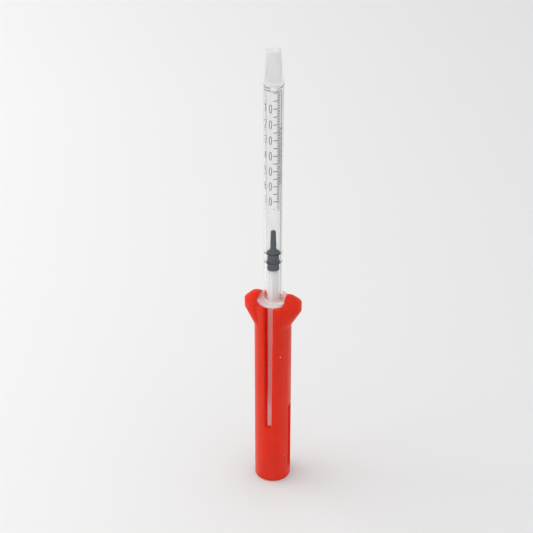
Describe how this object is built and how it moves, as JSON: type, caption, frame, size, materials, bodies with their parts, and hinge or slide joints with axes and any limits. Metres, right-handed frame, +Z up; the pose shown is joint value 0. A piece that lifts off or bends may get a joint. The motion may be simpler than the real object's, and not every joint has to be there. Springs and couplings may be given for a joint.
{
  "type": "oral syringe",
  "caption": "Slim clear oral syringe with drawn plunger and tip cap, held tip up in a standing tubular plunger guard with slots and spanner-like ears.",
  "frame": {"origin": "centre of the guard's base, on the surface that it stands on", "axes": "+Z up along the syringe towards its tip; the guard's ears lie along X and its long slots face -Y and +Y"},
  "size_m": [0.0206, 0.0132, 0.1706],
  "materials": {
    "guard_plastic": "matte moulded red",
    "clear_plastic": "clear moulded polypropylene",
    "scale_ink": "printed ink, partly worn",
    "stopper_rubber": "satin grey rubber",
    "rod_plastic": "translucent white",
    "cap_plastic": "translucent white"
  },
  "bodies": {
    "guard": {"holder": "guard_plastic"},
    "syringe": {"barrel": "clear_plastic", "scale_ticks": "scale_ink"},
    "plunger": {"plunger_rod": "rod_plastic", "stopper": "stopper_rubber"},
    "cap": {"tip_cap": "cap_plastic"}
  },
  "joints": [
    {"name": "syringe_turn", "type": "hinge", "parent": "guard", "child": "syringe", "pos_m": [0, 0, 0.077], "axis": [0, 0, 1], "continuous": true},
    {"name": "plunger_slide", "type": "slide", "parent": "syringe", "child": "plunger", "axis": [0, 0, 1], "range_m": [-0.0068, 0.059]},
    {"name": "cap_pull", "type": "slide", "parent": "syringe", "child": "cap", "axis": [0, 0, 1], "range_m": [0, 0.014]}
  ]
}
